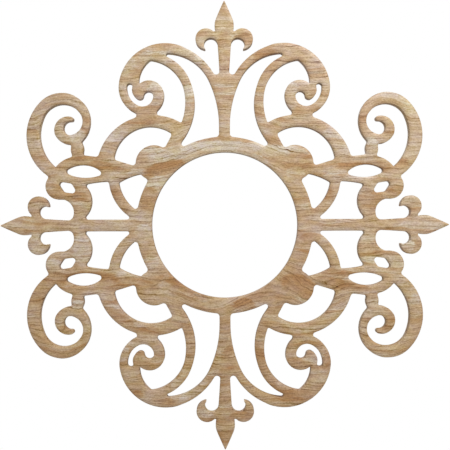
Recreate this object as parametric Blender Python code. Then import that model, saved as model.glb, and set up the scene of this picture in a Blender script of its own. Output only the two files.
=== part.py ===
"""A pierced ceiling medallion, cut from one flat oak board.

The board hangs level under a ceiling: its plain back is at z = 0 and faces up, and its
show face is at z = -THICKNESS and faces down. The origin is the middle of the round
opening, in the plane of the back. X and Y are the board's two lines of symmetry, so the
pattern is drawn for one quarter, with x and y positive, and the rest is its mirror image.

Every edge of the pattern is an arc of a circle, or a straight line, and each cut is a
closed chain of such edges. Going along a chain, the air is on the left and the wood on
the right. All sizes are in metres.
"""

import math
from collections import namedtuple

import bmesh
import bpy

# Driving dimensions
OVERALL = 0.4064            # tip to tip, both ways: a 16 inch medallion
THICKNESS = 0.00635         # quarter inch board
CENTRE_RADIUS = 0.0663      # round opening for the lamp's wiring and canopy
RING_RADIUS = 0.0804        # outer edge of the ring round that opening
STEM_HALF = 0.0050          # half the stem's width where it grows out of the ring
CHORD_ERROR = 0.00008       # how far a facet may stray from its arc
FLAT_RADIUS = 1000.0        # a straight edge is drawn as an arc of this radius
SHARP_ANGLE = 30            # degrees; walls that turn less than this are shaded smooth

# Oak, as the board is finished
OAK_COLOUR = (0.47, 0.34, 0.22, 1.0)
OAK_ROUGHNESS = 0.6

# One edge of a chain: the centre and radius of its arc, and the rounding of the corner
# where it meets the next edge. A radius or a rounding above zero turns left and one
# below zero turns right. A rounding of None means that the two arcs run on smoothly.
Edge = namedtuple("Edge", "x y radius corner")


def arc(x, y, radius, corner=None):
    """An edge on the circle of that centre and radius."""
    return Edge(x, y, radius, corner)


def line(start, end, corner=None):
    """A straight edge from start towards end, as an arc too wide to tell from a line."""
    along_x = end[0] - start[0]
    along_y = end[1] - start[1]
    length = math.hypot(along_x, along_y)
    return Edge(
        (start[0] + end[0]) / 2 - along_y / length * FLAT_RADIUS,
        (start[1] + end[1]) / 2 + along_x / length * FLAT_RADIUS,
        FLAT_RADIUS,
        corner,
    )


def ring(corner):
    """An edge along the outside of the ring."""
    return arc(0.0, 0.0, -RING_RADIUS, corner)


# The nine openings of a quarter, from the middle outwards


def ring_triangle():
    """Three-sided opening between the ring, its knuckle and the bowed strut."""
    return [
        arc(0.0595, 0.0445, 0.0372, 0.0018),
        arc(0.0653, -0.0110, 0.0586, 0.0024),
        arc(0.0645, 0.0560, -0.0151, 0.0029),
        ring(0.0028),
    ]


def hourglass_half():
    """Opening between the bowed strut and the waist of the side stem."""
    return [
        line((0.090, 0.0054), (0.120, 0.0054), 0.0018),
        arc(0.1411, 0.0219, -0.0201, 0.0018),
        arc(0.1035, -0.0626, 0.1025, 0.0026),
        arc(0.0609, 0.0441, -0.0444, 0.0017),
    ]


def shoulder_arch():
    """Opening under the round shoulder, over the knuckle on the ring."""
    return [
        arc(0.0640, 0.0560, -0.0167, 0.0027),
        line((0.0850, 0.0550), (0.0980, 0.0590), 0.0030),
        arc(0.0674, 0.0559, 0.0336, 0.0029),
        line((0.0495, 0.0790), (0.0532, 0.0721), 0.0028),
    ]


def stem_crescent():
    """Long opening between the stem and the inner arm of the great scroll."""
    return [
        ring(0.0026),
        arc(0.0867, 0.1123, -0.0601),
        arc(0.0810, 0.1102, -0.0540),
        arc(0.0684, 0.1163, -0.0401, 0.0018),
        arc(0.0531, 0.1132, 0.0431),
        arc(0.1020, 0.0904, 0.0970),
        line((STEM_HALF, 0.092), (STEM_HALF, 0.082), 0.0030),
    ]


def great_scroll_eye():
    """Wide opening inside the great scroll, round the back of its curl."""
    return [
        arc(0.0648, 0.0501, -0.0499, 0.0028),
        arc(0.0738, 0.1181, -0.0189),
        arc(0.0684, 0.1181, -0.0135, 0.0008),
        arc(0.0520, 0.1296, 0.0257, 0.0021),
        arc(0.0717, 0.1146, 0.0359),
        arc(0.0851, 0.1115, 0.0496, 0.0012),
    ]


def great_scroll_slot():
    """Hooked slot that frees the curl of the great scroll."""
    return [
        arc(0.0742, 0.1176, 0.0097),
        arc(0.0697, 0.1258, 0.0191),
        arc(0.0861, 0.1260, 0.0027),
        arc(0.0745, 0.1229, -0.0093),
        arc(0.0770, 0.1179, -0.0037),
        arc(0.0690, 0.1171, 0.0044),
    ]


def almond():
    """Almond-shaped opening between the shoulder and the side stem."""
    return [
        arc(0.1258, 0.0834, 0.0401, 0.0025),
        arc(0.1293, 0.0287, 0.0263, 0.0024),
    ]


def lozenge():
    """Small slanted four-sided opening beside the almond."""
    return [
        line((0.1380, 0.0293), (0.1450, 0.0302), 0.0040),
        line((0.1475, 0.0320), (0.1495, 0.0351), 0.0025),
        line((0.1465, 0.0394), (0.1405, 0.0384), 0.0044),
        line((0.1380, 0.0367), (0.1362, 0.0337), 0.0026),
    ]


def small_scroll_eye():
    """Opening inside the small scroll, round both sides of its curl."""
    return [
        arc(0.1295, 0.0826, 0.0384),
        arc(0.1470, 0.0912, 0.0190),
        arc(0.1410, 0.0945, 0.0123),
        arc(0.1401, 0.0883, 0.0062, -0.0021),
        arc(0.1420, 0.0866, -0.0124),
        arc(0.1404, 0.0877, -0.0141, 0.0020),
        arc(0.1274, 0.0689, -0.0120, 0.0018),
        arc(0.1331, 0.0371, -0.0257, 0.0010),
    ]


OPENINGS = (
    ring_triangle,
    hourglass_half,
    shoulder_arch,
    stem_crescent,
    great_scroll_eye,
    great_scroll_slot,
    almond,
    lozenge,
    small_scroll_eye,
)


# The outside edge of a quarter, from the top tip clockwise to the side tip


def finial_half(hook, hollow):
    """Right half of the upright finial: pointed leaf, outward hook and its hollow."""
    return [
        arc(-0.3078, 0.0536, -0.3425),
        arc(-0.0071, 0.1812, -0.0158, 0.0011),
        hook,
        hollow,
    ]


def swapped(edges, last_corner):
    """The same edges turned over the diagonal and run the other way."""
    turned = []
    for place, edge in enumerate(reversed(edges)):
        before = len(edges) - 2 - place
        corner = edges[before].corner if before >= 0 else last_corner
        turned.append(Edge(edge.y, edge.x, edge.radius, corner))
    return turned


def outside_quarter():
    """Outside edge of one quarter, from the top tip to the side tip."""
    upright = finial_half(arc(0.0165, 0.1690, -0.0096, -0.0003), arc(0.0123, 0.1637, 0.0062))
    sideways = finial_half(arc(0.0170, 0.1691, -0.0096, -0.0008), arc(0.0117, 0.1630, 0.0057))
    tip_rounding = -0.0005
    middle = [
        # tapering stem of the upright finial, down to the notch beside the great scroll
        line((0.0058, 0.1645), (0.0046, 0.1415), 0.0029),
        # back of the great scroll
        arc(0.0587, 0.1090, -0.0568),
        arc(0.0538, 0.1230, -0.0423),
        arc(0.0706, 0.1251, -0.0253, 0.0026),
        # shoulder, then the ledge that carries the small scroll's neck
        arc(0.0658, 0.0494, -0.0506, 0.0029),
        line((0.1180, 0.0626), (0.1260, 0.0636), 0.0021),
        arc(0.1388, 0.0692, -0.0106, 0.0020),
        # back of the small scroll
        arc(0.1480, 0.0947, -0.0259),
        arc(0.1480, 0.0943, -0.0261),
        arc(0.1355, 0.0814, -0.0441, 0.0022),
        # knuckle, then the hollow under it
        arc(0.1504, 0.0357, -0.0121),
        arc(0.1485, 0.0120, 0.0117, 0.0050),
        # tapering stem of the side finial
        line((0.1430, 0.0048), (0.1600, 0.0059)),
    ]
    return upright + middle + swapped(sideways, tip_rounding)


def mirrored_round(edges):
    """The whole closed chain from a quarter that runs from the Y axis to the X axis."""
    backwards = []
    for place, edge in enumerate(reversed(edges)):
        before = (len(edges) - 2 - place) % len(edges)
        backwards.append(edge._replace(corner=edges[before].corner))
    chain = []
    for sign_x, sign_y, quarter in (
        (1, 1, edges),
        (1, -1, backwards),
        (-1, -1, edges),
        (-1, 1, backwards),
    ):
        chain += [edge._replace(x=edge.x * sign_x, y=edge.y * sign_y) for edge in quarter]
    return chain


# Geometry of a chain of arcs


def smooth_joint(first, second):
    """The point where one arc runs on into the next: both centres lie on its normal."""
    sign = math.copysign(1.0, second.radius - first.radius)
    normal_x = (second.x - first.x) * sign
    normal_y = (second.y - first.y) * sign
    length = math.hypot(normal_x, normal_y)
    normal_x /= length
    normal_y /= length
    x = (first.x - first.radius * normal_x + second.x - second.radius * normal_x) / 2
    y = (first.y - first.radius * normal_y + second.y - second.radius * normal_y) / 2
    return x, y


def unit_from(edge, x, y, rounding):
    """The edge's unit normal, towards the air, where a rounding arc centred at x, y touches."""
    apart = rounding - edge.radius
    return (x - edge.x) / apart, (y - edge.y) / apart


def rounded_joint(first, second):
    """The rounding arc between two edges, with the points where it touches them.

    Its centre is as far from each edge's centre as the difference of their signed radii.
    Of the two such places, the one where the way turns to the rounding's side is taken.
    """
    rounding = first.corner
    reach = abs(rounding - first.radius)
    other_reach = abs(rounding - second.radius)
    apart_x = second.x - first.x
    apart_y = second.y - first.y
    apart = math.hypot(apart_x, apart_y)
    along = (apart * apart + reach * reach - other_reach * other_reach) / (2 * apart)
    across = math.sqrt(reach * reach - along * along)
    for side in (across, -across):
        x = first.x + (apart_x * along - apart_y * side) / apart
        y = first.y + (apart_y * along + apart_x * side) / apart
        normal = unit_from(first, x, y, rounding)
        other = unit_from(second, x, y, rounding)
        turn = normal[0] * other[1] - normal[1] * other[0]
        if turn * rounding > 0:
            break
    leaves = (x - rounding * normal[0], y - rounding * normal[1])
    meets = (x - rounding * other[0], y - rounding * other[1])
    return leaves, Edge(x, y, rounding, None), meets


def arc_points(edge, start, end):
    """Points along an edge, from its start up to but not including its end."""
    radius = abs(edge.radius)
    if radius == FLAT_RADIUS:
        return [start]
    first_angle = math.atan2(start[1] - edge.y, start[0] - edge.x)
    last_angle = math.atan2(end[1] - edge.y, end[0] - edge.x)
    if edge.radius > 0:
        sweep = (last_angle - first_angle) % math.tau
    else:
        sweep = -((first_angle - last_angle) % math.tau)
    step = 2 * math.acos(1 - CHORD_ERROR / radius)
    count = max(1, math.ceil(abs(sweep) / step))
    points = []
    for place in range(count):
        angle = first_angle + sweep * place / count
        points.append((edge.x + radius * math.cos(angle), edge.y + radius * math.sin(angle)))
    return points


def chain_points(edges):
    """Corner points of the closed outline that a chain of edges makes."""
    starts = []
    ends = []
    roundings = []
    for place, edge in enumerate(edges):
        following = edges[(place + 1) % len(edges)]
        if edge.corner is None:
            point = smooth_joint(edge, following)
            ends.append(point)
            roundings.append(None)
            starts.append(point)
        else:
            leaves, rounding, meets = rounded_joint(edge, following)
            ends.append(leaves)
            roundings.append(rounding)
            starts.append(meets)
    points = []
    for place, edge in enumerate(edges):
        points += arc_points(edge, starts[place - 1], ends[place])
        if roundings[place] is not None:
            points += arc_points(roundings[place], ends[place], starts[place])
    return points


def circle_points(radius):
    """Points round a full circle about the origin."""
    count = math.ceil(math.tau / (2 * math.acos(1 - CHORD_ERROR / radius)))
    return [
        (radius * math.cos(math.tau * place / count), radius * math.sin(math.tau * place / count))
        for place in range(count)
    ]


def all_outlines():
    """The outside, the round opening, and each opening in its four places."""
    outlines = [chain_points(mirrored_round(outside_quarter())), circle_points(CENTRE_RADIUS)]
    for opening in OPENINGS:
        quarter = chain_points(opening())
        for sign_x, sign_y in ((1, 1), (-1, 1), (-1, -1), (1, -1)):
            outlines.append([(x * sign_x, y * sign_y) for x, y in quarter])
    return outlines


# The solid board


def board_mesh(name):
    """The board: the pattern filled flat, then thickened up to the plane of the back.

    The places and radii above are real sizes at 16 inches; the tips set the scale.
    """
    outlines = all_outlines()
    scale = OVERALL / 2 / max(y for x, y in outlines[0])
    shape = bmesh.new()
    for outline in outlines:
        corners = [shape.verts.new((x * scale, y * scale, -THICKNESS)) for x, y in outline]
        for place, corner in enumerate(corners):
            shape.edges.new((corner, corners[place - 1]))
    bmesh.ops.triangle_fill(shape, use_beauty=True, edges=shape.edges[:], normal=(0, 0, -1))
    raised = bmesh.ops.extrude_face_region(shape, geom=shape.faces[:], use_keep_orig=True)
    for item in raised["geom"]:
        if isinstance(item, bmesh.types.BMVert):
            item.co.z += THICKNESS
    bmesh.ops.recalc_face_normals(shape, faces=shape.faces[:])
    mesh = bpy.data.meshes.new(name)
    shape.to_mesh(mesh)
    shape.free()
    return mesh


def oak(name):
    """The board's finish."""
    material = bpy.data.materials.new(name)
    material.use_nodes = True
    shader = material.node_tree.nodes["Principled BSDF"]
    shader.inputs["Base Color"].default_value = OAK_COLOUR
    shader.inputs["Roughness"].default_value = OAK_ROUGHNESS
    shader.inputs["Metallic"].default_value = 0.0
    return material


def main():
    for old in list(bpy.context.scene.objects):
        bpy.data.objects.remove(old, do_unlink=True)
    mesh = board_mesh("medallion")
    mesh.materials.append(oak("oak"))
    mesh.shade_smooth()
    mesh.set_sharp_from_angle(angle=math.radians(SHARP_ANGLE))
    board = bpy.data.objects.new("medallion", mesh)
    bpy.context.scene.collection.objects.link(board)


main()
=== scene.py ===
"""The looks of a pierced ceiling medallion: one flat oak board with sawn scrollwork.

The CAD gives the board's outline, thickness and place. Here the board is made again with
finer curves, sanded corners and oak, and it is seen from straight below, as it hangs.
"""

import math

import bpy
import numpy as np
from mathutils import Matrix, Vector
from mathutils.geometry import delaunay_2d_cdt


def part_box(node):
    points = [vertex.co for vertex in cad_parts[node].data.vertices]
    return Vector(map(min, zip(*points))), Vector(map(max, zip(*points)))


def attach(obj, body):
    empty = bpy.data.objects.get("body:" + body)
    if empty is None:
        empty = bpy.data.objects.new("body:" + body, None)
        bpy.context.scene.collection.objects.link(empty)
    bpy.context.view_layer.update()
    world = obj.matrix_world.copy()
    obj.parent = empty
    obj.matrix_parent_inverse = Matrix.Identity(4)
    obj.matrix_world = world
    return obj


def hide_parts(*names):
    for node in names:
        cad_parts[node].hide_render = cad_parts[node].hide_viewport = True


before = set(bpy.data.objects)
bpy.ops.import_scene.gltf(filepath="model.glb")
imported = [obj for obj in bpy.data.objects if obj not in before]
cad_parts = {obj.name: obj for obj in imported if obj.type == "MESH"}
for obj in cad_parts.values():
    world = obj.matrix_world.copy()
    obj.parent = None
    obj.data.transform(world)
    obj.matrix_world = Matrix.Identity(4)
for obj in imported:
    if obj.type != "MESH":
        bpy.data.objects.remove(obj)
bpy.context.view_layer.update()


# The board. One piece of quarter inch oak, sawn through along every edge of the pattern. Its
# show face is sanded, which dips it a little towards every edge, and all its corners are
# broken with paper. It is fixed flat to the ceiling by its back.

board_low, board_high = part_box("medallion")
WELD = 1e-6                 # corners of the CAD's loose triangles closer than this are one
OPEN = 1.0                  # radius that fits where no wood lies in front of a rim point
ARC_STEPS = 3               # pieces into which each CAD facet is bowed
DIP = (0.0034, 0.0005)      # how far in the show face starts to dip, and how deep it gets
CORNER = 0.0003             # radius of the broken corners
BESIDE_WALL_SHADE = 0.3               # how much of the walls' painted shade the faces beside them have
CORNER_SHARE = 0.3          # share of the dip's width that a corner may take
ROOM_SHARE = 0.8            # share of the room between two edges that the dip may take
SPREAD = 0.35               # how fast the dip widens again beside a narrow place
SPREAD_PASSES = 60          # neighbours that this widening is carried to
BLOCK = 500                 # rim points whose room is found at one time
INSIDE_OUTLINES = 1         # what Blender's filler is to keep: the triangles inside the rims
SAME_POINT = 1e-9           # rim points closer than this would be one to the filler
DIP_STEPS = 4               # facets across the dip
CORNER_STEPS = 3            # facets round a corner


def rims_of(node, level):
    """The CAD face at that level, as its rims: corner points in order, and each one's next.

    A face triangle's side that no other face triangle runs back along is part of a rim. The
    order along a rim comes from doubling the jumps until they have gone all the way round.
    """
    mesh = node.data
    mesh.calc_loop_triangles()
    corners = np.empty(len(mesh.vertices) * 3)
    mesh.vertices.foreach_get("co", corners)
    triangles = np.empty(len(mesh.loop_triangles) * 3, dtype=np.int64)
    mesh.loop_triangles.foreach_get("vertices", triangles)
    corners = corners.reshape(-1, 3)
    welded, first, same = np.unique(
        np.round(corners / WELD).astype(np.int64), axis=0, return_index=True, return_inverse=True
    )
    corners = corners[first]
    triangles = same.ravel()[triangles].reshape(-1, 3)
    face = triangles[(np.abs(corners[triangles][:, :, 2] - level) < WELD).all(axis=1)]
    start = face.ravel()
    end = np.roll(face, -1, axis=1).ravel()
    count = len(corners)
    on_rim = ~np.isin(start * count + end, end * count + start)
    start = start[on_rim]
    everyone = np.arange(count)
    after = everyone.copy()
    after[start] = end[on_rim]
    doublings = math.ceil(math.log2(count))
    leader = everyone.copy()
    jump = after.copy()
    for _ in range(doublings):
        leader = np.minimum(leader, leader[jump])
        jump = jump[jump]
    to_leader = (leader != everyone).astype(np.int64)
    jump = np.where(leader == everyone, everyone, after)
    for _ in range(doublings):
        to_leader = to_leader + to_leader[jump]
        jump = jump[jump]
    order = start[np.lexsort((-to_leader[start], leader[start]))]
    sizes = np.unique(leader[order], return_counts=True)[1]
    return corners[order, :2], sizes


def neighbours(sizes):
    """For points that lie rim after rim, the index of each one's next and previous point."""
    ends = np.cumsum(sizes)
    following = np.arange(1, ends[-1] + 1)
    following[ends - 1] = ends - sizes
    previous = np.arange(-1, ends[-1] - 1)
    previous[ends - sizes] = ends - 1
    return following, previous


def bowed(points, sizes):
    """Bows each straight facet back into the arc that it stands for.

    The turn at a corner is shared by its two facets in inverse proportion to their lengths,
    which is how arcs of one chord error share it. A facet of length L that leaves at angle
    a from its chord and arrives at angle b stands off it by L t (1 - t) ((1 - t) tan a +
    t tan b), for t from 0 to 1.
    """
    following, previous = neighbours(sizes)
    chord = points[following] - points
    length = np.hypot(chord[:, 0], chord[:, 1])
    heading = np.arctan2(chord[:, 1], chord[:, 0])
    turn = (heading - heading[previous] + math.pi) % math.tau - math.pi
    leave = turn * length[previous] / (length[previous] + length)
    arrive = (turn * length / (length[previous] + length))[following]
    t = np.arange(ARC_STEPS)[None, :, None] / ARC_STEPS
    outward = np.stack((chord[:, 1], -chord[:, 0]), axis=-1)[:, None, :]
    swell = t * (1 - t) * ((1 - t) * np.tan(leave)[:, None, None] + t * np.tan(arrive)[:, None, None])
    return (points[:, None, :] + t * chord[:, None, :] + swell * outward).reshape(-1, 2)


def towards_air(points, sizes):
    """Unit normals of the rims, out of the wood, and the distance to each next point.

    The directions to and from a point are added up and turned a quarter, away from the wood.
    """
    following, previous = neighbours(sizes)
    chord = points[following] - points
    length = np.hypot(chord[:, 0], chord[:, 1])
    unit = chord / length[:, None]
    along = unit + unit[previous]
    along /= np.hypot(along[:, 0], along[:, 1])[:, None]
    return np.stack((-along[:, 1], along[:, 0]), axis=-1), length


def room(points, normal):
    """At each rim point, the radius of the largest circle that touches the rim and fits.

    A circle that touches the rim at P and passes through Q has the radius d d / 2 h, where d
    is the distance from P to Q and h is how deep Q lies in the wood, square to the rim.
    """
    radius = np.empty(len(points))
    for start in range(0, len(points), BLOCK):
        here = slice(start, start + BLOCK)
        apart = points[None, :, :] - points[here, None, :]
        depth = -(apart * normal[here, None, :]).sum(axis=-1)
        square = (apart**2).sum(axis=-1)
        fits = square / np.maximum(2 * depth, WELD**2)
        radius[here] = fits.min(axis=1, where=depth > WELD**2, initial=OPEN)
    return radius


def dip_reach(points, normal, length, sizes):
    """How far in the dip reaches: in full along an open edge, and less where there is no room.

    Beside a narrow place it widens by no more than a fixed share of the way along the rim.
    """
    following, previous = neighbours(sizes)
    reach = np.minimum(DIP[0], ROOM_SHARE * room(points, normal))
    for _ in range(SPREAD_PASSES):
        from_next = reach[following] + SPREAD * length
        from_previous = reach[previous] + SPREAD * length[previous]
        reach = np.minimum(reach, np.minimum(from_next, from_previous))
    return reach


def filled(rims, sizes):
    """Triangles that fill the wood between the rims, as Delaunay's rule lays them out.

    Every rim is passed on against the clock, and wood is what lies inside one rim only.
    """
    following = neighbours(sizes)[0]
    ends = np.cumsum(sizes)
    lean = rims[:, 0] * rims[following, 1] - rims[following, 0] * rims[:, 1]
    ways = np.sign(np.add.reduceat(lean, ends - sizes)).astype(int)
    outlines = [
        list(range(end - size, end))[::way]
        for size, end, way in zip(sizes.tolist(), ends.tolist(), ways.tolist())
    ]
    corners = [Vector(point) for point in rims.tolist()]
    made = delaunay_2d_cdt(corners, [], outlines, INSIDE_OUTLINES, SAME_POINT)
    _, _, faces, sources, _, insides = made
    kept = [face for face, inside in zip(faces, insides) if len(inside) == 1]
    source = np.array([names[0] for names in sources])
    return source[np.array(kept)]


def corner_section(radius, dip, slope):
    """Rows over a broken corner: how far in from the wall and how deep, and their slopes.

    At the angle q, from the dip's slope to 90 degrees at the wall, a point is r (1 - sin q)
    in and r (1 - cos q) deeper than the dip.
    """
    q = slope + (math.pi / 2 - slope) * np.linspace(0, 1, CORNER_STEPS + 1)[:, None]
    return radius * (1 - np.sin(q)), dip + radius * (1 - np.cos(q)), q


def show_section(reach):
    """The same rows over the show face's dip and its corner.

    At the share t of the way from the flat face to the corner the dip is d t t deep, so that
    it starts level and is steepest at the corner.
    """
    corner = np.minimum(CORNER, CORNER_SHARE * reach)
    deep = DIP[1] * reach / DIP[0]
    t = np.linspace(0, 1, DIP_STEPS + 1)[:-1, None]
    dip_in = reach + (corner - reach) * t
    slope = np.arctan(2 * deep * t / (reach - corner))
    last_slope = np.arctan(2 * deep / (reach - corner))
    corner_in, corner_deep, corner_slope = corner_section(corner, deep, last_slope)
    return (
        np.concatenate((dip_in, corner_in)),
        np.concatenate((deep * t**2, corner_deep)),
        np.concatenate((slope, corner_slope)),
    )


def laid_out(section, rims, normal, level, way):
    """A section's rows at every rim point, and which way is outwards across the rows."""
    inward, deep, slope = section
    places = np.empty((*inward.shape, 3))
    places[:, :, :2] = rims - inward[:, :, None] * normal
    places[:, :, 2] = level + way * deep
    across = np.empty_like(places)
    across[:, :, :2] = way * np.cos(slope)[:, :, None] * normal
    across[:, :, 2] = np.sin(slope)
    return places, across


def sanded_board(name, node):
    """The board: a sanded section carried along every rim, between two filled faces.

    The rows go from the flat show face over its dip and corner, down the wall and over the
    back's corner, and each row is joined to the next by a ring of quads along every rim.
    """
    corners, corner_sizes = rims_of(node, board_low.z)
    rims = bowed(corners, corner_sizes)
    sizes = corner_sizes * ARC_STEPS
    following, previous = neighbours(sizes)
    normal, length = towards_air(rims, sizes)
    reach = dip_reach(rims, normal, length, sizes)
    show, show_across = laid_out(show_section(reach), rims, normal, board_low.z, 1)
    corner = np.minimum(CORNER, CORNER_SHARE * reach)
    back, back_across = laid_out(corner_section(corner, 0.0, 0.0), rims, normal, board_high.z, -1)
    places = np.concatenate((show, back[::-1]))
    across = np.concatenate((show_across, back_across[::-1]))
    facing = np.cross(across, places[:, following] - places[:, previous])
    facing /= np.linalg.norm(facing, axis=-1, keepdims=True)
    here = np.arange(len(rims))
    step = np.arange(len(places) - 1)[:, None] * len(rims)
    walls = np.stack(
        (step + here, step + len(rims) + here, step + len(rims) + following, step + following), axis=-1
    ).reshape(-1, 4)
    show_face = filled(places[0, :, :2], sizes)[:, ::-1]
    back_face = filled(places[-1, :, :2], sizes) + (len(places) - 1) * len(rims)
    mesh = bpy.data.meshes.new(name)
    mesh.from_pydata(places.reshape(-1, 3), [], walls.tolist() + show_face.tolist() + back_face.tolist())
    mesh.shade_smooth()
    mesh.normals_split_custom_set_from_vertices(facing.reshape(-1, 3))
    # Painted shade, row by row: none on the flat show face, rising over the dip and the corner to full on
    # the walls, and falling to a share again over the back's corner and the back face
    on_dip = BESIDE_WALL_SHADE * np.linspace(0, 1, DIP_STEPS + 1)[:-1] ** 2
    on_corner = np.linspace(BESIDE_WALL_SHADE, 1, CORNER_STEPS + 1)
    shade_by_row = np.concatenate((on_dip, on_corner, on_corner[::-1]))
    mesh.attributes.new("wall_shade", "FLOAT", "POINT").data.foreach_set("value", np.repeat(shade_by_row, len(rims)))
    board = bpy.data.objects.new(name, mesh)
    bpy.context.scene.collection.objects.link(board)
    return board


piece = sanded_board("oak_board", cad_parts["medallion"])
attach(piece, "root")
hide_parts("medallion")

# The board's oak. It is flat-sawn, sanded and left bare, with its grain along X. Its growth
# layers run out in long tongues, warm brown where a layer starts and pale where it ends, and
# dark pores, rays and fibres run along them.

MM = 1000.0                 # millimetres in a metre
OVAL_DEPTH = 200.0          # mm, far more than the board has, so that its figure goes right through
LAYER = 10.0                # mm across the grain from one growth layer to the next
LAYER_START = 0.07          # the share of a layer over which it browns
LAYER_END = 0.8             # the share of it at which it is pale again
SLANT = 0.7                 # mm that the layers move across for each mm of the board's depth
WARM = 0.42                 # how warm plain wood is, from 0, the palest, to 1, the brownest
EDGE_WARM = 0.42            # how much warmer a layer is where it starts
PAINTED_FALLOFF = 0.0003         # painted shade: how much browner and darker the wood gets with each mm towards +Y, away from the key light
TONGUE_SPAN = (-0.45, 0.5)  # where a tongue starts and stops fading, in widths from its middle
TONGUE_FADE = (0.72, 0.3)   # the share of its warmth that it has there
TONGUE_RIM = 0.3            # the share of its radius over which it runs out
SEAM_RIM = 0.6              # the same for a seam
BASE_SHADE = 0.063          # makes up for the light that lines and pores take
FIBRE_SHADE = 0.75          # how strongly fibres and flecks lighten and darken the wood
FLECK_SHADE = 1.2
WALL_SHADE_LEVEL = -0.23        # the painted shade on a wall
LINE_TINTS = (0.84, 1.25)   # how much a line darkens red and blue for each part of green
ROUGHNESS = 0.5
LINE_ROUGHNESS = -0.3       # what the shade adds to it, so that dark lines are rougher
PORE_DEPTH = 0.0001
PALE = (200, 186, 166)      # the oak's colours, by paint-chart numbers from 0 to 255
MIDDLE = (184, 156, 122)
BROWN = (163, 121, 76)

oak = bpy.data.materials.new("oak")
oak.use_nodes = True
nodes = oak.node_tree.nodes
links = oak.node_tree.links


def node(kind, inputs, output=0, **settings):
    """Adds one shader node, sets or joins its inputs, and gives back one of its outputs."""
    made = nodes.new(kind)
    for key, value in settings.items():
        setattr(made, key, value)
    for key, value in inputs.items():
        if isinstance(value, bpy.types.NodeSocket):
            links.new(value, made.inputs[key])
        else:
            made.inputs[key].default_value = value
    return made.outputs[output]


def calc(operation, *values):
    """One step of arithmetic."""
    return node("ShaderNodeMath", dict(enumerate(values)), operation=operation)


def total(first, *others):
    """The sum of several values."""
    for other in others:
        first = calc("ADD", first, other)
    return first


def band(value, start, end, low=0.0, high=1.0):
    """Goes smoothly from low to high while the value goes from start to end."""
    return node(
        "ShaderNodeMapRange",
        {"Value": value, "From Min": start, "From Max": end, "To Min": low, "To Max": high},
        interpolation_type="SMOOTHSTEP",
    )


def cloud(where, along, across, seed, detail=2.0, height=1.0):
    """Soft noise around 0 with patches of those sizes in millimetres, and that height."""
    sizes = (1 / along, 1 / across, 1 / across)
    spread = node(
        "ShaderNodeVectorMath", {0: where, 1: sizes, 2: (seed, seed, seed)}, operation="MULTIPLY_ADD"
    )
    grey = node("ShaderNodeTexNoise", {"Vector": spread, "Scale": 1.0, "Detail": detail})
    return calc("MULTIPLY_ADD", grey, height, -height / 2)


def oval(where, x, y, length, width, turn):
    """Coordinates in which an oval, with its sizes in millimetres, has the radius 1."""
    return node(
        "ShaderNodeMapping",
        {
            "Vector": where,
            "Location": (x, y, 0.0),
            "Rotation": (0.0, 0.0, math.radians(turn)),
            "Scale": (length / 2, width / 2, OVAL_DEPTH / 2),
        },
        vector_type="TEXTURE",
    )


def inside(laid):
    """1 in the middle of an oval, and falls evenly to 0 at its rim."""
    return node("ShaderNodeTexGradient", {"Vector": laid}, output="Fac", gradient_type="SPHERICAL")


# Places on the board in millimetres, and the same with the grain laid straight. The grain
# arches over some places, towards -Y, and dips under others; where it does so steeply, the
# layers close round the place in pointed tongues.
ARCHES = (                  # x, y, length, width and height in mm, and turn in degrees
    (0, -68, 144, 144, 17, 0),
    (40, 40, 120, 60, 14, 0),
    (-10, 68, 90, 90, -12, 0),
    (86, 68, 60, 60, -7, 0),
    (-149, 109, 70, 70, -8, 0),
    (145, 113, 70, 70, -8, 0),
    (-147, -113, 80, 80, 10, 0),
    (145, -118, 80, 80, 10, 0),
)

place = node(
    "ShaderNodeVectorMath",
    {0: node("ShaderNodeTexCoord", {}, output="Object"), "Scale": MM},
    operation="SCALE",
)
split = nodes.new("ShaderNodeSeparateXYZ")
links.new(place, split.inputs[0])
x, y, z = split.outputs
ripples = total(
    cloud(place, along=18, across=10, seed=7.7, height=4),
    cloud(place, along=7, across=4, seed=1.3, height=1.6),
)
threads = node("ShaderNodeCombineXYZ", {0: x, 1: calc("ADD", y, ripples), 2: z})
slow_bends = cloud(place, along=60, across=30, seed=3.1, height=9)
across = total(y, ripples, calc("MULTIPLY", z, SLANT), slow_bends)
for cx, cy, length, width, height, turn in ARCHES:
    hill = inside(oval(place, cx, cy, length, width, turn))
    across = calc("ADD", across, band(hill, start=0.0, end=1.0, low=0.0, high=height))
grain = node("ShaderNodeCombineXYZ", {0: x, 1: across, 2: z})

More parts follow.
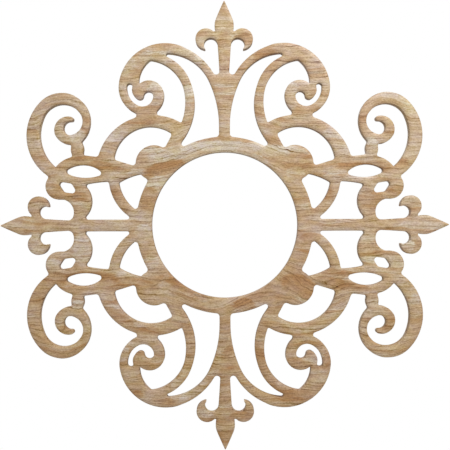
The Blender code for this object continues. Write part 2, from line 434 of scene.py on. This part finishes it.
# Warm and pale zones: a growth layer starts at an abrupt brown edge and pales away from it,
# and the boldest tongues of brown and of pale wood lie where this board has them. A tongue's
# sharp edge is on its side towards -Y; with half a turn more it is on the other side.
TONGUES = (                 # x, y, length and width in mm, turn in degrees, and warmth
    (-54, -52, 48, 14, -13, 1.15), (-62, -39, 26, 12, -10, -0.6), (-38, -68, 76, 12, -12, -0.7),
    (-68, -96, 60, 11, 180, 0.6), (-102, -74, 30, 20, -40, -0.5), (-133, -78, 18, 24, 0, -0.6),
    (-142, -28, 46, 12, 8, 0.6), (-95, -22, 18, 28, -40, 0.5), (-62, -120, 20, 26, 0, -0.6),
    (-33, -118, 14, 24, 0, -0.8), (-60, -152, 44, 14, 0, -0.7), (-68, -24, 22, 24, 0, 0.7),
    (0, -122, 26, 14, 0, -0.5), (0, -158, 16, 44, 0, 0.4), (18, -168, 24, 14, 0, 0.7),
    (20, -69, 110, 15, 3, -0.8), (62, -66, 34, 14, 10, -0.5), (76, -105, 30, 10, 0, 0.6),
    (38, -147, 30, 36, 10, 0.6), (88, -22, 30, 22, -50, 0.7), (128, -53, 64, 12, 0, 0.6),
    (102, -75, 30, 36, -30, -0.5), (64, -46, 20, 18, 0, -0.5), (132, -24, 28, 18, 0, 0.6),
    (148, -29, 34, 8, 0, 0.6), (-36, 57, 56, 10, 26, 0.8), (-82, 53, 54, 13, 9, 0.55),
    (-122, 50, 64, 20, 0, 0.7), (-129, 22, 20, 38, 0, -0.6), (-160, 53, 40, 12, 0, 0.6),
    (-94, 86, 34, 12, 30, 0.5), (-71, 97, 30, 12, 0, 0.5), (68, 56, 44, 24, 20, 0.7),
    (17, 72, 24, 12, 0, 0.8), (106, 54, 62, 12, 12, 0.6), (78, 12, 24, 12, 0, 0.6),
    (130, 34, 24, 14, 0, -0.6), (178, 5, 60, 20, 0, -0.45), (46, 92, 30, 11, 16, 0.5),
    (172, 74, 16, 24, 0, -0.6), (36, 132, 18, 56, -20, 0.7), (62, 154, 44, 12, 0, 0.5),
    (5, 120, 18, 26, 0, 0.6), (4, 192, 40, 14, 0, 0.6), (-24, 145, 56, 12, -40, -0.6),
    (-50, 50, 16, 10, 0, -0.5), (133, -73, 16, 14, 0, -0.6), (-146, 95, 26, 10, 0, 0.6),
    (145, 95, 26, 10, 0, 0.6), (158, -110, 44, 18, 30, -0.5), (14, -146, 26, 24, -40, 0.6),
    (-188, 0, 40, 16, 0, -0.4), (66, 126, 32, 12, 10, 0.6), (-80, -138, 14, 10, 0, 0.6),
    (-113, -55, 26, 8, 0, 0.6), (14, 174, 26, 12, 0, 0.6), (92, 122, 10, 16, 0, 0.6),
    (-80, 154, 14, 10, 0, 0.6), (160, -55, 16, 14, 0, 0.6), (95, 43, 30, 8, 0, 0.5),
    (-64, -68, 20, 8, 0, -0.7), (-46, -60, 26, 7, -10, -0.7), (-78, -48, 22, 8, -10, -0.6),
    (32, -60, 18, 8, 25, -0.7), (97, -44, 18, 7, 0, -0.6), (-88, -145, 22, 20, -30, -0.5),
    (-22, -149, 16, 12, -40, -0.6), (60, -124, 16, 16, 0, -0.5), (-74, 6, 18, 16, 0, -0.5),
    (-66, 32, 16, 18, 0, -0.5), (-172, 12, 20, 16, 0, -0.5), (166, 19, 16, 14, 0, -0.9),
    (116, 52, 22, 8, 20, -0.6), (-155, 36, 18, 16, 0, -0.5), (-134, 72, 14, 10, 0, -0.7),
    (-100, 77, 22, 12, 20, -0.5), (-22, 66, 20, 8, 15, -0.7), (-42, 143, 20, 12, -40, -0.6),
    (-92, 116, 12, 16, 0, -0.7), (-20, 171, 22, 14, 0, -0.6),
)

# The same places, pushed about by a few millimetres, which frays what is drawn by them
frayed = node(
    "ShaderNodeVectorMath",
    {
        0: place,
        1: node(
            "ShaderNodeCombineXYZ",
            {
                0: cloud(place, along=6, across=1.5, seed=2.9, height=9),
                1: cloud(place, along=9, across=6, seed=8.3, height=5),
            },
        ),
    },
    operation="ADD",
)

# The layers, each bold along some of its length and faint along the rest
drift = cloud(grain, along=50, across=14, seed=2.4, height=2.2)
layer = calc("FRACT", calc("ADD", calc("DIVIDE", across, LAYER), drift))
browning = band(layer, start=0.0, end=LAYER_START)
paling = band(layer, start=LAYER_START, end=LAYER_END, low=1.0, high=0.0)
edge = calc("MULTIPLY", browning, paling)
boldness = band(cloud(grain, along=30, across=12, seed=8.8), start=-0.15, end=0.2, low=0.1, high=1.0)
layers = total(
    WARM,
    calc("MULTIPLY", calc("MULTIPLY", edge, boldness), EDGE_WARM),
    cloud(grain, along=22, across=8, seed=5.5, detail=3.0, height=0.9),
    cloud(grain, along=70, across=24, seed=6.6, height=0.9),
)

tongues = 0.0
for cx, cy, length, width, turn, warmth in TONGUES:
    aside = Vector((-math.sin(math.radians(turn)), math.cos(math.radians(turn)), 0.0))
    side = node("ShaderNodeVectorMath", {0: frayed, 1: aside}, output="Value", operation="DOT_PRODUCT")
    middle = aside.x * cx + aside.y * cy
    sharp_side, faint_side = (middle + share * width for share in TONGUE_SPAN)
    sharp, faint = (share * warmth for share in TONGUE_FADE)
    fading = band(side, start=sharp_side, end=faint_side, low=sharp, high=faint)
    tongue = inside(oval(frayed, cx, cy, length, width, turn))
    tongues = calc("MULTIPLY_ADD", band(tongue, start=0.0, end=TONGUE_RIM), fading, tongues)
# The wood's own warmth, with painted shade that browns it towards +Y, where the key light falls off
warmth_and_falloff = calc("MULTIPLY_ADD", y, PAINTED_FALLOFF, calc("ADD", layers, tongues))

# Single dark lines, where a year's start comes up through the face and none is beside it
SEAMS = (                   # x, y, length and width in mm, turn in degrees, and darkness
    (66, 47, 44, 1.5, 26, 0.35), (92, 53, 44, 1.6, 19, 0.35), (118, 128, 40, 1.5, 14, 0.35),
    (-50, -62, 64, 1.4, -11, 0.35), (-53, -58, 50, 1.3, -14, 0.4), (-84, -44, 50, 1.6, -4, 0.35),
    (-60, 52, 34, 1.5, -30, 0.3), (60, -76, 50, 1.4, 5, 0.3),
)

# Lines: dark porous wood along each year's start, and finer fibres and flecks. The walls
# and a little of the rounding beside them are darkened with painted shade.
wall_shade = node("ShaderNodeAttribute", {}, output="Fac", attribute_name="wall_shade")


def year_lines(spacing, thickness, seed, darkness):
    """Dark lines along the grain, unevenly spaced, each strong for a few centimetres.

    A line darkens over the first two fifths of its thickness and then fades over a stretch
    of one and three fifths.
    """
    drift = cloud(grain, along=60, across=spacing * 1.5, seed=seed, height=1.6)
    year = calc("FRACT", calc("ADD", calc("DIVIDE", across, spacing), drift))
    darkest = thickness / spacing * 0.4
    gone = thickness / spacing * 2
    line = calc(
        "MULTIPLY",
        band(year, start=0.0, end=darkest),
        band(year, start=darkest, end=gone, low=1.0, high=0.0),
    )
    strong = band(cloud(grain, along=35, across=spacing, seed=seed + 1.7), start=-0.16, end=0.14)
    return calc("MULTIPLY", calc("MULTIPLY", line, strong), -darkness)


sway = cloud(place, along=9, across=6, seed=8.3, height=5)
seamed = node("ShaderNodeCombineXYZ", {0: x, 1: calc("ADD", y, sway)})
fibres = cloud(threads, along=9, across=0.7, seed=4.4, detail=3.0)
flecks = cloud(threads, along=1.4, across=0.7, seed=0.6)
shade = total(
    BASE_SHADE,
    year_lines(spacing=4.4, thickness=0.9, seed=4.9, darkness=0.4),
    year_lines(spacing=2.6, thickness=0.6, seed=2.2, darkness=0.38),
    year_lines(spacing=1.5, thickness=0.4, seed=9.1, darkness=0.32),
    calc("MULTIPLY", fibres, FIBRE_SHADE),
    calc("MULTIPLY", flecks, FLECK_SHADE),
    # painted shade on the walls and beside them, a little uneven
    calc(
        "MULTIPLY",
        wall_shade,
        calc("ADD", cloud(place, along=25, across=25, seed=3.3, height=0.5), WALL_SHADE_LEVEL),
    ),
)
for cx, cy, length, width, turn, darkness in SEAMS:
    seam = inside(oval(seamed, cx, cy, length, width, turn))
    shade = calc("ADD", shade, band(seam, start=0.0, end=SEAM_RIM, low=0.0, high=-darkness))


def linear(chart):
    """The linear colour of a paint-chart colour, by the sRGB standard's curve."""
    parts = np.array(chart) / 255
    return (*np.where(parts > 0.04045, ((parts + 0.055) / 1.055) ** 2.4, parts / 12.92), 1.0)


# The colour. The warmth picks it between the pale and the brown, some patches are more
# golden or rosier than others, and the shade lightens and darkens it.
colours = nodes.new("ShaderNodeValToRGB")
links.new(warmth_and_falloff, colours.inputs[0])
ramp = colours.color_ramp
ramp.elements[0].position = 0.0
ramp.elements[0].color = linear(PALE)
ramp.elements[1].position = 1.0
ramp.elements[1].color = linear(BROWN)
ramp.elements.new(0.5).color = linear(MIDDLE)
golden = total(
    cloud(place, along=9, across=5, seed=7.1, detail=3.0, height=0.6),
    cloud(place, along=50, across=30, seed=5.3, height=0.5),
)
rosy = cloud(place, along=7, across=4, seed=1.9, detail=3.0, height=0.06)
tinted = node(
    "ShaderNodeCombineXYZ",
    {
        0: calc("MULTIPLY_ADD", shade, LINE_TINTS[0], 1.0),
        1: calc("ADD", shade, calc("SUBTRACT", 1.0, rosy)),
        2: calc("MULTIPLY_ADD", shade, LINE_TINTS[1], calc("SUBTRACT", 1.0, golden)),
    },
)
shaded = node("ShaderNodeVectorMath", {0: colours.outputs[0], 1: tinted}, operation="MULTIPLY")

shader = nodes["Principled BSDF"]
links.new(shaded, shader.inputs["Base Color"])
links.new(calc("MULTIPLY_ADD", shade, LINE_ROUGHNESS, ROUGHNESS), shader.inputs["Roughness"])
relief = {"Height": total(fibres, flecks), "Strength": 1.0, "Distance": PORE_DEPTH}
pores = node("ShaderNodeBump", relief)
links.new(pores, shader.inputs["Normal"])
piece.data.materials.append(oak)


# The view, from straight below. The board fills the frame, which is 450 pixels wide.

BOARD_PIXELS = 448          # the medallion, tip to tip, in the frame
FRAME_PIXELS = 450
OFF_CENTRE = (-0.28, 0.14)  # pixels right and down from the frame's middle
TURN = 0.17                 # degrees that the board is turned in the frame, against the clock
LENS = 45.0
SENSOR = 36.0

overall = board_high.x - board_low.x
pixel = overall / BOARD_PIXELS

# The outline that fills the frame lies deeper than the show face, by the dip and the corner
distance = pixel * FRAME_PIXELS * LENS / SENSOR - DIP[1] - CORNER
lens = bpy.data.cameras.new("camera")
lens.lens = LENS
lens.sensor_width = SENSOR
lens.clip_start = 0.01
camera = bpy.data.objects.new("camera", lens)
camera.location = (-OFF_CENTRE[0] * pixel, -OFF_CENTRE[1] * pixel, board_low.z - distance)
camera.rotation_euler = (math.pi, 0.0, math.radians(TURN))
bpy.context.scene.collection.objects.link(camera)
bpy.context.scene.camera = camera


# The light. A soft light stands below the board, out of the frame on its upper right. A
# weaker one stands behind it, for views of the back, and the white room lights the rest.

KEY_PLACE = (0.46, -0.95, -0.78)
KEY_SIZE = 0.5
KEY_POWER = 16.4
FILL_PLACE = (-0.6, -0.9, 1.1)
FILL_SIZE = 0.8
FILL_POWER = 8.0
ROOM_LIGHT = 0.565          # how strongly the white room lights the board
ROOM_SEEN = 1.0             # how bright the room itself looks through the openings


def soft_light(name, place, size, power):
    """A square soft light at a place, turned to shine at the middle of the board."""
    lamp = bpy.data.lights.new(name, "AREA")
    lamp.shape = "SQUARE"
    lamp.size = size
    lamp.energy = power
    light = bpy.data.objects.new(name, lamp)
    light.location = place
    light.rotation_euler = (-Vector(place)).to_track_quat("-Z", "Y").to_euler()
    bpy.context.scene.collection.objects.link(light)


soft_light("key", KEY_PLACE, KEY_SIZE, KEY_POWER)
soft_light("fill", FILL_PLACE, FILL_SIZE, FILL_POWER)

world = bpy.data.worlds.new("room")
world.use_nodes = True
bpy.context.scene.world = world
room_nodes = world.node_tree.nodes
background = room_nodes["Background"]
background.inputs["Color"].default_value = (1.0, 1.0, 1.0, 1.0)
room_light = room_nodes.new("ShaderNodeMix")
room_light.inputs[2].default_value = ROOM_LIGHT
room_light.inputs[3].default_value = ROOM_SEEN
room_path = room_nodes.new("ShaderNodeLightPath")
world.node_tree.links.new(room_path.outputs["Is Camera Ray"], room_light.inputs[0])
world.node_tree.links.new(room_light.outputs[0], background.inputs["Strength"])
bpy.context.scene.view_settings.view_transform = "Standard"


# The floor, far below, as in a room. It is painted and dull.

FLOOR_DROP = 2.4
FLOOR_HALF = 6.0
FLOOR_COLOUR = (0.8, 0.8, 0.8, 1.0)
FLOOR_ROUGHNESS = 0.9

floor_mesh = bpy.data.meshes.new("floor")
floor_z = board_low.z - FLOOR_DROP
floor_mesh.from_pydata(
    [(a * FLOOR_HALF, b * FLOOR_HALF, floor_z) for a, b in ((-1, -1), (1, -1), (1, 1), (-1, 1))],
    [],
    [(0, 1, 2, 3)],
)
floor = bpy.data.objects.new("floor", floor_mesh)
bpy.context.scene.collection.objects.link(floor)
floor_paint = bpy.data.materials.new("floor_paint")
floor_paint.use_nodes = True
floor_shader = floor_paint.node_tree.nodes["Principled BSDF"]
floor_shader.inputs["Base Color"].default_value = FLOOR_COLOUR
floor_shader.inputs["Roughness"].default_value = FLOOR_ROUGHNESS
floor.data.materials.append(floor_paint)
